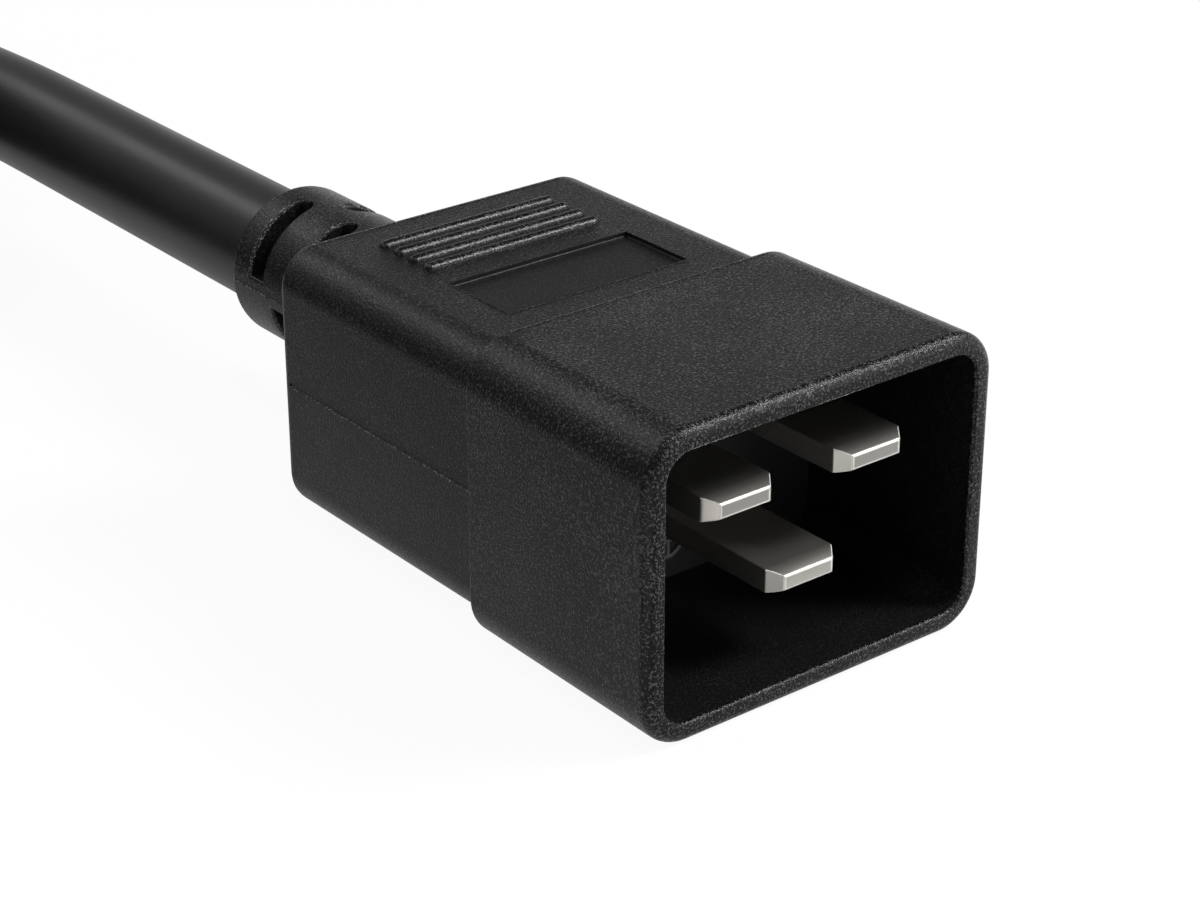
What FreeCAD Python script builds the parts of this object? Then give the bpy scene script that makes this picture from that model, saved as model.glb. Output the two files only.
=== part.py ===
# Moulded appliance plug with three flat pins in an open shroud, on a heavy round lead.
# Millimetres, +Z up. The shroud opens towards -Y and the lead leaves towards +Y.
# The origin is on the floor, under the middle of the plug.
import FreeCAD
import Part

import math
import os

Vector = FreeCAD.Vector

# How near an edge has to be to a plane to count as in it
tolerance = 0.001

# Shroud round the pins
shroud_width = 33.6
shroud_height = 25.5
shroud_length = 21.8
shroud_draft = 0.22
shroud_corner = 4.0
shroud_rear_break = 0.15
shroud_side_wall = 1.6
shroud_top_wall = 1.75
cavity_depth = 18.2
cavity_corner = 2.2
rim_outer_break = 0.4
rim_inner_break = 0.45
rim_break_share = 0.45

# Grip behind the shroud, on the height of the lead
axis_height = 12.65
grip_width = 31.8
grip_height = 23.3
grip_length = 27.3
grip_corner = 3.4
grip_rear_break = 0.8

# Sunk panel and finger ribs on top of the grip
panel_width = 18.0
panel_length = 7.8
panel_depth = 0.4
panel_setback = 4.9
rib_count = 4
rib_length = 17.8
rib_diameter = 1.2
rib_height = 0.45
rib_end_break = 0.35
rib_pitch = 2.05
rib_setback = 4.85

# Slotted strain relief behind the grip
boot_diameter = 14.1
boot_length = 22.0
boot_end_break = 0.45
slot_rows = 5
slot_width = 2.1
slot_pitch = 3.5
slot_margin = 2.9
slot_rib = 1.5
slot_side_web = 2.0

# Flat pins: two live pins in a row, the earth pin below them
pin_row_height = 17.05
pin_pitch = 13.0
earth_drop = 8.0
pin_setback = 1.6
pin_width = 6.7
pin_thickness = 2.0
pin_edge_break = 0.15
tip_chamfer_width = 0.9
tip_chamfer_length = 1.15
tip_bevel_drop = 0.38
tip_bevel_length = 1.4
pin_neck = 1.0
barrel_diameter = 4.4
barrel_web = 1.2
barrel_length = 7.0

# Stiff insert that holds the pins
bridge_plate = 1.2
bridge_flange = 0.5
bridge_flange_length = 2.0
bridge_block_width = 25.0
bridge_block_height = 16.0
bridge_block_length = 2.5

# Lead and its three cores
cord_diameter = 10.9
bend_share = 0.45
core_diameter = 3.9
core_gap = 0.5
conductor_diameter = 2.5
jacket_hold = 28.0

# Put-away length: a coil two turns wide and two high, with ties under and round it
coil_mid_diameter = 122.0
coil_turns_wide = 2
coil_turns_high = 2
coil_setback = 135.0
turn_gap = 0.3
tail_dip = 0.35
tie_thickness = 1.2
tie_width = 4.8
tie_angles = (70.0, 250.0)
tie_head_width = 6.0
tie_head_length = 5.5
tie_head_height = 4.0

# Mating connector on the far end
mating_gap = 0.3
nose_length = 18.0
connector_grip_length = 30.0
contact_wall = 0.5
contact_grip = 0.1
contact_length = 14.0
contact_seam = 0.8
pocket_lip = 1.5
pocket_gap = 0.3
tail_length = 100.0

# Places that follow from the sizes above
plug_length = shroud_length + grip_length + boot_length
front = -plug_length / 2
step = front + shroud_length
grip_rear = step + grip_length
boot_rear = grip_rear + boot_length
shroud_middle = shroud_height / 2
cavity_width = shroud_width - 2 * shroud_side_wall
cavity_height = shroud_height - 2 * shroud_top_wall
cavity_floor = front + cavity_depth
flange_front = cavity_floor + bridge_plate
block_front = flange_front + bridge_flange_length
block_rear = block_front + bridge_block_length
barrel_front = block_rear + pin_neck
barrel_rear = barrel_front + barrel_length
jacket_end = boot_rear - jacket_hold
cord_radius = cord_diameter / 2
pin_places = {
    "line": (-pin_pitch / 2, pin_row_height),
    "neutral": (pin_pitch / 2, pin_row_height),
    "earth": (0.0, pin_row_height - earth_drop),
}
lay_angles = {"line": 150.0, "neutral": 30.0, "earth": 270.0}
coil_outer_turn = coil_mid_diameter / 2 + (coil_turns_wide - 1) * cord_radius
coil_centre = Vector(-coil_outer_turn, coil_setback, 0)
coil_bottom = tie_thickness
coil_middle_height = coil_bottom + coil_turns_high * cord_radius
top_turn_height = coil_bottom + (coil_turns_high - 0.5) * cord_diameter
connector_axis_height = grip_height / 2
connector_x = coil_centre.x - coil_outer_turn
connector_rear = coil_centre.y - tail_length
nose_start = connector_rear - boot_length - connector_grip_length - nose_length


def centred_box(width, length, height, start, x, z):
    """A plain box along Y, its section centred on x and z."""
    return Part.makeBox(width, length, height, Vector(x - width / 2, start, z - height / 2))


def bar(width, length, height, corner, start, x, z):
    """A bar along Y with rounded long edges, its section centred on x and z."""
    block = centred_box(width, length, height, start, x, z)
    long_edges = [e for e in block.Edges if abs(e.Vertexes[0].Y - e.Vertexes[-1].Y) > length / 2]
    return block.makeFillet(corner, long_edges)


def rod(radius, length, start, x, z):
    """A cylinder along Y."""
    return Part.makeCylinder(radius, length, Vector(x, start, z), Vector(0, 1, 0))


def edges_across(shape, y):
    """Edges that lie in the plane across the plug at y."""
    flat = [e for e in shape.Edges if e.BoundBox.YLength < tolerance]
    return [e for e in flat if abs(e.CenterOfMass.y - y) < tolerance]


def slotted_boot(rear, length, x, z):
    """Cylinder with staggered quarter slots: opposite quarters in a row, the other two in the next row."""
    radius = boot_diameter / 2
    boot = rod(radius, length, rear - length, x, z)
    boot = boot.makeChamfer(boot_end_break, edges_across(boot, rear))
    reach = radius - slot_rib / 2
    height = radius - slot_side_web / 2
    slots = []
    for row in range(slot_rows):
        slot_front = rear - slot_margin - slot_width - row * slot_pitch
        upper_side = -1 if row % 2 == 0 else 1
        for side, level in ((upper_side, 1), (-upper_side, -1)):
            low_x = x + (slot_rib / 2 if side > 0 else -radius)
            low_z = z + (slot_side_web / 2 if level > 0 else -radius)
            slots.append(Part.makeBox(reach, slot_width, height, Vector(low_x, slot_front, low_z)))
    return boot.cut(Part.makeCompound(slots))


def shroud_block():
    """The shroud's outside: its plan, a little wider at the rim, raised to its height with rounded long edges."""
    root_half = shroud_width / 2
    rim_half = root_half + shroud_draft
    plan = [(-rim_half, front), (rim_half, front), (root_half, step), (-root_half, step)]
    corners = [Vector(x, y, 0) for x, y in plan]
    block = Part.Face(Part.makePolygon(corners + corners[:1])).extrude(Vector(0, 0, shroud_height))
    long_edges = [e for e in block.Edges if e.BoundBox.YLength > shroud_length / 2]
    return block.makeFillet(shroud_corner, long_edges)


def shroud_shell():
    """The open box round the pins, with the rim's edges broken as far as its wall leaves room for."""
    room = min(shroud_side_wall, shroud_top_wall) * rim_break_share
    outer = shroud_block()
    outer = outer.makeChamfer(shroud_rear_break, edges_across(outer, step))
    outer = outer.makeChamfer(min(rim_outer_break, room), edges_across(outer, front))
    cavity = bar(cavity_width, cavity_depth, cavity_height, cavity_corner, front, 0, shroud_middle)
    mouth_box = cavity.BoundBox
    mouth_box.enlarge(tolerance)
    shell = outer.cut(cavity)
    mouth = [e for e in edges_across(shell, front) if mouth_box.isInside(e.BoundBox)]
    return shell.makeChamfer(min(rim_inner_break, room), mouth)


def grip_block(start, length):
    """The grip, with its rear edges broken."""
    grip = bar(grip_width, length, grip_height, grip_corner, start, 0, axis_height)
    return grip.makeChamfer(grip_rear_break, edges_across(grip, start + length))


def top_panel():
    """The shallow sunk panel on the grip's top, as the space that is cut away."""
    top = axis_height + grip_height / 2
    corner = Vector(-panel_width / 2, step + panel_setback, top - panel_depth)
    return Part.makeBox(panel_width, panel_length, 2 * panel_depth, corner)


def finger_rib(y):
    """A half-round rib across the grip's top with tapered ends, sunk to leave its height."""
    top = axis_height + grip_height / 2
    start = Vector(-rib_length / 2, y, top + rib_height - rib_diameter / 2)
    rib = Part.makeCylinder(rib_diameter / 2, rib_length, start, Vector(1, 0, 0))
    ends = [e for e in rib.Edges if e.BoundBox.XLength < tolerance]
    return rib.makeChamfer(rib_end_break, ends)


def plug_moulding():
    """Shroud, grip and strain relief in one, still solid where the inner pieces lie."""
    grip = grip_block(step, grip_length)
    boot = slotted_boot(boot_rear, boot_length, 0, axis_height)
    ribs = [finger_rib(grip_rear - rib_setback - row * rib_pitch) for row in range(rib_count)]
    return shroud_shell().multiFuse([grip, boot]).removeSplitter().multiFuse(ribs).cut(top_panel())


def contact_bridge():
    """Plate that closes the shroud's floor, a flange that locks it in the moulding, and a block behind."""
    plate = bar(cavity_width, bridge_plate, cavity_height, cavity_corner, cavity_floor, 0, shroud_middle)
    flange = bar(
        cavity_width + 2 * bridge_flange,
        bridge_flange_length,
        cavity_height + 2 * bridge_flange,
        cavity_corner + bridge_flange,
        flange_front,
        0,
        shroud_middle,
    )
    block = bar(
        bridge_block_width,
        bridge_block_length,
        bridge_block_height,
        cavity_corner,
        block_front,
        0,
        shroud_middle,
    )
    return plate.multiFuse([flange, block]).removeSplitter()


def pin(x, z):
    """Flat pin with chamfered corners and a bevelled tip, and a crimp barrel on its rear end."""
    tip = front + pin_setback
    half = pin_width / 2
    rear = barrel_front + barrel_web
    outline = [
        (-half + tip_chamfer_width, tip),
        (half - tip_chamfer_width, tip),
        (half, tip + tip_chamfer_length),
        (half, rear),
        (-half, rear),
        (-half, tip + tip_chamfer_length),
    ]
    low = z - pin_thickness / 2
    corners = [Vector(x + dx, y, low) for dx, y in outline]
    blade = Part.Face(Part.makePolygon(corners + corners[:1])).extrude(Vector(0, 0, pin_thickness))
    long_edges = [e for e in blade.Edges if e.BoundBox.YLength > pin_width]
    blade = blade.makeChamfer(pin_edge_break, long_edges)
    for side in (-1, 1):
        face_z = z + side * pin_thickness / 2
        wedge = [
            Vector(x - pin_width, tip, face_z - side * tip_bevel_drop),
            Vector(x - pin_width, tip, face_z),
            Vector(x - pin_width, tip + tip_bevel_length, face_z),
        ]
        section = Part.Face(Part.makePolygon(wedge + wedge[:1]))
        blade = blade.cut(section.extrude(Vector(2 * pin_width, 0, 0)))
    barrel = rod(barrel_diameter / 2, barrel_length, barrel_front, x, z)
    bore = rod(conductor_diameter / 2, barrel_length - barrel_web, rear, x, z)
    return blade.fuse(barrel).removeSplitter().cut(bore)


def conductor(name):
    """Bare strands of one core, which fill the bore of the pin's barrel."""
    pin_x, pin_z = pin_places[name]
    bore_length = barrel_length - barrel_web
    return rod(conductor_diameter / 2, bore_length, barrel_front + barrel_web, pin_x, pin_z)


def core(name):
    """One insulated core, straight from its pin to its place in the lay at the jacket's end."""
    pin_x, pin_z = pin_places[name]
    lay_radius = (core_diameter + core_gap) / math.sqrt(3)
    lay = math.radians(lay_angles[name])
    start = Vector(pin_x, barrel_rear, pin_z)
    end = Vector(lay_radius * math.cos(lay), jacket_end, axis_height + lay_radius * math.sin(lay))
    ahead = (end - start).normalize()
    overrun = ahead * core_diameter
    length = (end - start).Length + 2 * core_diameter
    whole = Part.makeCylinder(core_diameter / 2, length, start - overrun, ahead)
    between_ends = centred_box(grip_width, jacket_end - barrel_rear, grip_height, barrel_rear, 0, axis_height)
    return whole.common(between_ends)


def cord_route(points):
    """Straight runs joined by tangent arcs, each as large as its two runs allow."""
    edges = []
    here = points[0]
    for before, corner, after in zip(points, points[1:], points[2:]):
        back = before - corner
        ahead = after - corner
        shorter = min(back.Length, ahead.Length)
        back.normalize()
        ahead.normalize()
        half_turn = (math.pi - back.getAngle(ahead)) / 2
        reach = bend_share * shorter
        radius = reach / math.tan(half_turn)
        print("cord bend radius", round(radius, 1), "mm")
        start = corner + back * reach
        end = corner + ahead * reach
        inward = back + ahead
        inward.normalize()
        middle = corner + inward * (radius / math.cos(half_turn) - radius)
        edges.append(Part.LineSegment(here, start))
        edges.append(Part.Arc(start, middle, end))
        here = end
    edges.append(Part.LineSegment(here, points[-1]))
    return Part.Wire([e.toShape() for e in edges])


def cord_tube(points):
    """A stretch of cord, with its volume compared with its section times its length."""
    route = cord_route(points)
    ahead = points[1] - points[0]
    section = Part.Face(Part.Wire(Part.makeCircle(cord_radius, points[0], ahead)))
    tube = route.makePipe(section)
    expected = math.pi * cord_radius ** 2 * route.Length
    print("cord stretch", round(route.Length, 1), "mm, volume share", round(tube.Volume / expected, 4))
    return tube


def coil_section(growth):
    """Eight-sided face of the coil's section, grown all round, in the plane through its axis and +X."""
    half_width = coil_turns_wide * cord_radius + growth
    half_height = coil_turns_high * cord_radius + growth
    corner = (cord_radius + growth) * (2 - math.sqrt(2))
    middle = Vector(coil_centre.x + coil_mid_diameter / 2, coil_centre.y, coil_middle_height)
    quarter = [(half_width, half_height - corner), (half_width - corner, half_height)]
    half = quarter + [(-across, up) for across, up in reversed(quarter)]
    outline = half + [(-across, -up) for across, up in half]
    points = [middle + Vector(across, 0, up) for across, up in outline]
    return Part.Face(Part.makePolygon(points + points[:1]))


def coil_ring():
    """Outer shape of the coiled length, open where the lead comes in and the tail goes out."""
    ring = coil_section(0).revolve(coil_centre, Vector(0, 0, 1), 360)
    reach = coil_outer_turn
    top = coil_bottom + coil_turns_high * cord_diameter
    lead_way = Part.makeBox(
        reach, reach, top, Vector(-cord_radius - turn_gap, coil_centre.y - reach, 0)
    )
    tail_low = top_turn_height - cord_radius - tail_dip
    tail_way = Part.makeBox(
        reach,
        reach,
        top - tail_low,
        Vector(connector_x + cord_radius + turn_gap - reach, coil_centre.y - reach, tail_low),
    )
    return ring.cut([lead_way, tail_way])


def cord_tie(angle):
    """Band round the coil's section with its locking head on top."""
    sweep_angle = math.degrees(tie_width / (coil_mid_diameter / 2))
    loop = coil_section(tie_thickness).cut(coil_section(0)).Faces[0]
    loop.rotate(coil_centre, Vector(0, 0, 1), angle - sweep_angle / 2)
    band = loop.revolve(coil_centre, Vector(0, 0, 1), sweep_angle)
    top = coil_bottom + coil_turns_high * cord_diameter
    corner = coil_centre + Vector(coil_mid_diameter / 2 - tie_head_length / 2, -tie_head_width / 2, top)
    head = Part.makeBox(tie_head_length, tie_head_width, tie_head_height, corner)
    head.rotate(coil_centre, Vector(0, 0, 1), angle)
    return band.fuse(head).removeSplitter()


def contact_place(name):
    """Where a contact's middle lies in the connector, mirrored because the two ends face each other."""
    pin_x, pin_z = pin_places[name]
    return connector_x - pin_x, connector_axis_height + pin_z - shroud_middle


def contact_blank(name):
    """The outside of a folded contact, which its pocket fits."""
    x, z = contact_place(name)
    width = pin_width + 2 * (contact_grip + contact_wall)
    height = pin_thickness + contact_grip + 2 * contact_wall
    return centred_box(width, contact_length, height, nose_start + pocket_lip, x, z)


def contact(name):
    """Folded sheet sleeve that grips a pin, open along a seam on its top."""
    x, z = contact_place(name)
    start = nose_start + pocket_lip
    space = centred_box(
        pin_width + 2 * contact_grip, contact_length, pin_thickness + contact_grip, start, x, z
    )
    seam = Part.makeBox(contact_seam, contact_length, pin_thickness, Vector(x - contact_seam / 2, start, z))
    return contact_blank(name).cut([space, seam])


def pocket_mouth(name):
    """Opening in the nose through which a pin reaches its contact."""
    x, z = contact_place(name)
    return centred_box(
        pin_width + 2 * pocket_gap, pocket_lip, pin_thickness + 2 * pocket_gap, nose_start, x, z
    )


def connector_body():
    """The moulded connector: nose, grip and strain relief in one, with a pocket for each contact."""
    nose = bar(
        cavity_width - 2 * mating_gap,
        nose_length,
        cavity_height - 2 * mating_gap,
        cavity_corner - mating_gap,
        nose_start,
        connector_x,
        connector_axis_height,
    )
    grip = grip_block(nose_start + nose_length, connector_grip_length)
    grip.translate(Vector(connector_x, 0, connector_axis_height - axis_height))
    boot = slotted_boot(connector_rear, boot_length, connector_x, connector_axis_height)
    pockets = [pocket_mouth(name) for name in pin_places] + [contact_blank(name) for name in pin_places]
    return nose.multiFuse([grip, boot]).cut(pockets)


lead_points = [
    Vector(0, jacket_end, axis_height),
    Vector(0, 100, axis_height),
    Vector(0, coil_setback, 8.6),
]
tail_points = [
    Vector(connector_x, coil_centre.y, top_turn_height),
    Vector(connector_x, coil_centre.y - 26, top_turn_height - tail_dip),
    Vector(connector_x, connector_rear + 23, connector_axis_height),
    Vector(connector_x, connector_rear - jacket_hold, connector_axis_height),
]

nodes = {}
nodes["contact_bridge"] = contact_bridge()
for name, (pin_x, pin_z) in pin_places.items():
    nodes[name + "_pin"] = pin(pin_x, pin_z)
    nodes[name + "_conductor"] = conductor(name)
    nodes[name + "_core"] = core(name)
    nodes["contact_bridge"] = nodes["contact_bridge"].cut(nodes[name + "_pin"])
nodes["cord_lead"] = cord_tube(lead_points)
nodes["plug_body"] = plug_moulding().cut(list(nodes.values()))

nodes["cord_tail"] = cord_tube(tail_points)
nodes["cord_coil"] = coil_ring().cut([nodes["cord_lead"], nodes["cord_tail"]])
nodes["cord_ties"] = Part.makeCompound([cord_tie(angle) for angle in tie_angles])
nodes["connector_body"] = connector_body().cut(nodes["cord_tail"])
for name in pin_places:
    nodes[name + "_contact"] = contact(name)

os.makedirs("parts", exist_ok=True)
for name, shape in nodes.items():
    state = "valid" if shape.isValid() else "not valid"
    print(name, len(shape.Solids), "solids", round(shape.Volume, 1), "mm3", state)
    shape.exportStep("parts/" + name + ".step")
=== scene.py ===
import math

import bmesh
import bpy
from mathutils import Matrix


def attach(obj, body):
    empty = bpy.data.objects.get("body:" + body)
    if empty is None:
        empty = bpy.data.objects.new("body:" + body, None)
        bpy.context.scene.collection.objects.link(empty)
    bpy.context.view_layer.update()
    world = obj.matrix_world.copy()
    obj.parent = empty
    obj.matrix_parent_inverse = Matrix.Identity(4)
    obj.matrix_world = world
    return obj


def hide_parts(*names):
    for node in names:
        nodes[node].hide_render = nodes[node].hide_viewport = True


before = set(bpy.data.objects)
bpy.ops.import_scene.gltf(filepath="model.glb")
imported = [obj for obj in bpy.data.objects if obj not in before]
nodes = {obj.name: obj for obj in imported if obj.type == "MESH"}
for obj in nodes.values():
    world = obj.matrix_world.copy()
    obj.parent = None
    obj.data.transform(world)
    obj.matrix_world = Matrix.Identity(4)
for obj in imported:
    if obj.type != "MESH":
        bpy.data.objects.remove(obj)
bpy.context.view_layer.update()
mm = 0.001  # lengths below are in millimetres where no note says otherwise
near = 0.005  # how close a point has to be to count as on a plane
fullRound = 0.95  # share of a ridge's height that its rounding takes
print("frame loaded:", len(nodes), "nodes")


def colour(code):  # sRGB hex to linear
    channels = [int(code[i : i + 2], 16) / 255 for i in (1, 3, 5)]
    return [c / 12.92 if c <= 0.04045 else ((c + 0.055) / 1.055) ** 2.4 for c in channels] + [1.0]


def repeats(width):  # scale of a pattern whose grains have this width
    return 1 / (width * mm)


def addNode(tree, kind, inputs, out=0, **settings):  # inputs: socket name or number to value or socket
    node = tree.nodes.new("ShaderNode" + kind)
    for name, value in settings.items():
        setattr(node, name, value)
    for name, value in inputs.items():
        if isinstance(value, bpy.types.NodeSocket):
            tree.links.new(value, node.inputs[name])
        else:
            node.inputs[name].default_value = value
    return node.outputs[out] if len(node.outputs) else None


def newMaterial(name, roughness, metallic=0.0):
    material = bpy.data.materials.new(name)
    material.use_nodes = True
    tree = material.node_tree
    shader = tree.nodes["Principled BSDF"]
    shader.inputs["Roughness"].default_value = roughness
    shader.inputs["Metallic"].default_value = metallic
    return material, tree, shader, addNode(tree, "TexCoord", {}, out="Object")


def paint(tree, shader, share, tones, glosses, height, depth):  # two tones, two roughnesses and a bump
    dark, light = [colour(code) for code in tones]
    tone = addNode(tree, "Mix", {0: share, 6: dark, 7: light}, out=2, data_type="RGBA")
    patchy = addNode(tree, "MapRange", {"Value": share, "To Min": glosses[0], "To Max": glosses[1]})
    bump = addNode(tree, "Bump", {"Height": height, "Distance": depth * mm, "Strength": 1.0})
    for socket, value in (("Base Color", tone), ("Roughness", patchy), ("Normal", bump)):
        tree.links.new(value, shader.inputs[socket])


# Black PVC moulded against a spark-eroded tool: a wavy leather-like grain that breaks up soft highlights
pvcSettings = {
    "specular": 0.3,
    "grainDetail": 2.0,
    "grainFade": 0.55,  # what is left of the height in each finer layer of the grain
    "waveWidth": 0.4,
    "waveDetail": 1.0,
    "waveReach": 0.13,
    "speckWidth": 0.075,
    "speckDetail": 1.0,
    "speckShare": 0.3,  # height of the specks against the grain's
    "cloudWidth": 6.0,
    "cloudDetail": 3.0,
    "cloudShare": 0.15,
    "crests": (0.76, 0.87),  # heights where the valleys' tone ends and where the crests' is full; the crests' pale tone is part grain, part painted glints
    "spread": 0.05,  # valleys are rougher by this, and crests glossier
    "finishes": {
        # height of the grain, roughness, tone of its valleys, tone of its crests, width of the grain
        "black_pvc_grained": (0.055, 0.28, "#040404", "#4a4a4c", 0.2),  # shroud and connector
        "black_pvc_grip_grain_painted_shade": (0.055, 0.3, "#030303", "#3a3a3c", 0.2),  # grip, darker as painted shade
        "black_pvc_rim_grain_painted_glints": (0.07, 0.2, "#040404", "#545456", 0.21),  # rim, coarse, its paler crests painted glints
        "black_pvc_rib_grain": (0.035, 0.22, "#060606", "#4a4a4c", 0.2),  # finger ribs, rubbed glossier
        "black_pvc_fine_grain": (0.05, 0.28, "#050505", "#434345", 0.2),  # strain relief
        "black_pvc_smooth_painted_shade": (0.012, 0.38, "#0c0c0d", "#29292a", 0.2),  # panel, mouth and slot walls, darker as painted shade in these recesses
        "black_pvc_painted_edge_highlight": (0.02, 0.2, "#2a2a2b", "#8a8a8c", 0.2),  # parting line and slot edges, pale as a painted highlight
    },
}


def mouldedPvc(name):
    s = pvcSettings
    grainHeight, roughness, valley, crest, grainWidth = s["finishes"][name]
    material, tree, shader, place = newMaterial(name, roughness)
    shader.inputs["Specular IOR Level"].default_value = s["specular"]
    wave = addNode(
        tree,
        "TexNoise",
        {"Vector": place, "Scale": repeats(s["waveWidth"]), "Detail": s["waveDetail"]},
        out="Color",
    )
    reach = [s["waveReach"] * mm] * 3
    bent = addNode(tree, "VectorMath", {0: wave, 1: reach, 2: place}, operation="MULTIPLY_ADD")
    grain = addNode(
        tree,
        "TexNoise",
        {
            "Vector": bent,
            "Scale": repeats(grainWidth),
            "Detail": s["grainDetail"],
            "Roughness": s["grainFade"],
        },
    )
    speck = addNode(
        tree,
        "TexNoise",
        {"Vector": bent, "Scale": repeats(s["speckWidth"]), "Detail": s["speckDetail"]},
    )
    height = addNode(tree, "Math", {0: speck, 1: s["speckShare"], 2: grain}, operation="MULTIPLY_ADD")
    cloud = addNode(
        tree,
        "TexNoise",
        {"Vector": place, "Scale": repeats(s["cloudWidth"]), "Detail": s["cloudDetail"]},
    )
    lift = addNode(tree, "Math", {0: cloud, 1: s["cloudShare"], 2: height}, operation="MULTIPLY_ADD")
    low, high = s["crests"]
    crests = addNode(tree, "MapRange", {"Value": lift, "From Min": low, "From Max": high})
    glosses = (roughness + s["spread"], roughness - s["spread"])
    paint(tree, shader, crests, (valley, crest), glosses, height, grainHeight)
    return material


# Nickel plate on brass blades: warm satin metal with faint drawing lines along the blade
nickelSettings = {
    "tones": ("#d6d2ca", "#dedad3"),
    "roughness": 0.3,
    "spread": 0.03,  # roughness of the lines, below and above the usual
    "metallic": 0.94,
    "lineWidth": 0.08,
    "lineLength": 4.0,
    "lineDetail": 2.0,
    "lineDepth": 0.0002,
}


def satinNickel():
    s = nickelSettings
    material, tree, shader, place = newMaterial("satin_nickel_plate", s["roughness"], s["metallic"])
    across, along = repeats(s["lineWidth"]), repeats(s["lineLength"])
    drawn = addNode(tree, "Mapping", {"Vector": place, "Scale": (across, along, across)})
    lines = addNode(tree, "TexNoise", {"Vector": drawn, "Scale": 1.0, "Detail": s["lineDetail"]})
    glosses = (s["roughness"] - s["spread"], s["roughness"] + s["spread"])
    paint(tree, shader, lines, s["tones"], glosses, lines, s["lineDepth"])
    return material


# Extruded PVC jacket: smooth and satin, with a faint orange peel and soft clouds in its tone
jacketSettings = {
    "tones": ("#1f1f20", "#282829"),
    "roughness": 0.36,
    "glosses": (0.32, 0.42),  # roughness of the darker and the lighter clouds
    "specular": 0.4,
    "peelWidth": 0.7,
    "peelDetail": 2.0,
    "peelDepth": 0.008,
    "cloudWidth": 9.0,
    "cloudDetail": 3.0,
}


def extrudedJacket():
    s = jacketSettings
    material, tree, shader, place = newMaterial("black_extruded_jacket", s["roughness"])
    shader.inputs["Specular IOR Level"].default_value = s["specular"]
    peel = addNode(
        tree,
        "TexNoise",
        {"Vector": place, "Scale": repeats(s["peelWidth"]), "Detail": s["peelDetail"]},
    )
    cloud = addNode(
        tree,
        "TexNoise",
        {"Vector": place, "Scale": repeats(s["cloudWidth"]), "Detail": s["cloudDetail"]},
    )
    paint(tree, shader, cloud, s["tones"], s["glosses"], peel, s["peelDepth"])
    return material


# Other finishes: two close tones of one material, mottled
mottleSettings = {
    "detail": 3.0,
    "spread": 0.06,  # roughness of the spots, below and above the usual
    "finishes": {
        # darker tone, lighter tone, width of the spots, roughness, height of the spots, metallic
        "black_insert_nylon": ("#1a1a1a", "#222222", 0.35, 0.55, 0.012, 0.0),  # moulded, dull and even
        "black_insert_nylon_painted_highlight": ("#6a6a6a", "#7a7a7a", 0.35, 0.4, 0.012, 0.0),  # raised lines, paler as a painted highlight
        "nickel_plate_painted_edge_highlight": ("#f2efe8", "#fbf8f2", 0.3, 0.35, 0.002, 0.2),  # near white, a painted highlight as a thin bright outline
        "bare_copper": ("#b8714a", "#d9936a", 0.3, 0.3, 0.01, 1.0),  # fine drawn strands, warm and bright
        "brown_core_insulation": ("#5b3a20", "#6d4629", 2.0, 0.4, 0.005, 0.0),  # extruded, smooth
        "blue_core_insulation": ("#2b4f9c", "#3560b0", 2.0, 0.4, 0.005, 0.0),  # extruded, smooth
        "green_core_insulation": ("#2f8a3b", "#d8cf3a", 1.6, 0.4, 0.005, 0.0),  # green and yellow
        "black_tie_nylon": ("#121213", "#1c1c1d", 1.5, 0.3, 0.004, 0.0),  # moulded, with a slight gloss
        "rolled_contact_brass": ("#b08d52", "#cda968", 0.8, 0.32, 0.004, 1.0),  # rolled sheet, satin
    },
}


def mottled(name):
    s = mottleSettings
    dark, light, width, roughness, height, metallic = s["finishes"][name]
    material, tree, shader, place = newMaterial(name, roughness, metallic)
    mottle = addNode(tree, "TexNoise", {"Vector": place, "Scale": repeats(width), "Detail": s["detail"]})
    glosses = (roughness - s["spread"], roughness + s["spread"])
    paint(tree, shader, mottle, (dark, light), glosses, mottle, height)
    return material


grainedPvc = mouldedPvc("black_pvc_grained")
gripShadedPvc = mouldedPvc("black_pvc_grip_grain_painted_shade")
rimGlintPvc = mouldedPvc("black_pvc_rim_grain_painted_glints")
ribPvc = mouldedPvc("black_pvc_rib_grain")
finePvc = mouldedPvc("black_pvc_fine_grain")
smoothShadedPvc = mouldedPvc("black_pvc_smooth_painted_shade")
edgeHighlightPvc = mouldedPvc("black_pvc_painted_edge_highlight")
nickel = satinNickel()
highlightNickel = mottled("nickel_plate_painted_edge_highlight")
jacket = extrudedJacket()
insertPlastic = mottled("black_insert_nylon")
highlightNylon = mottled("black_insert_nylon_painted_highlight")
copper = mottled("bare_copper")
brownCore = mottled("brown_core_insulation")
blueCore = mottled("blue_core_insulation")
greenCore = mottled("green_core_insulation")
tieNylon = mottled("black_tie_nylon")
brass = mottled("rolled_contact_brass")
print("materials made:", len(bpy.data.materials))


def selectOnly(*pieces):  # the first one becomes the active one
    bpy.ops.object.select_all(action="DESELECT")
    for piece in pieces:
        piece.select_set(True)
    bpy.context.view_layer.objects.active = pieces[0]


def settle(name):  # moves the active object's place into its mesh
    bpy.ops.object.transform_apply(location=True, rotation=True, scale=True)
    piece = bpy.context.object
    piece.name = piece.data.name = name
    return piece


def addBox(name, low, high):  # box between two corners
    bpy.ops.object.select_all(action="DESELECT")
    middle = [(a + b) / 2 * mm for a, b in zip(low, high)]
    size = [(b - a) * mm for a, b in zip(low, high)]
    bpy.ops.mesh.primitive_cube_add(size=1, location=middle, scale=size)
    return settle(name)


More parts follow.
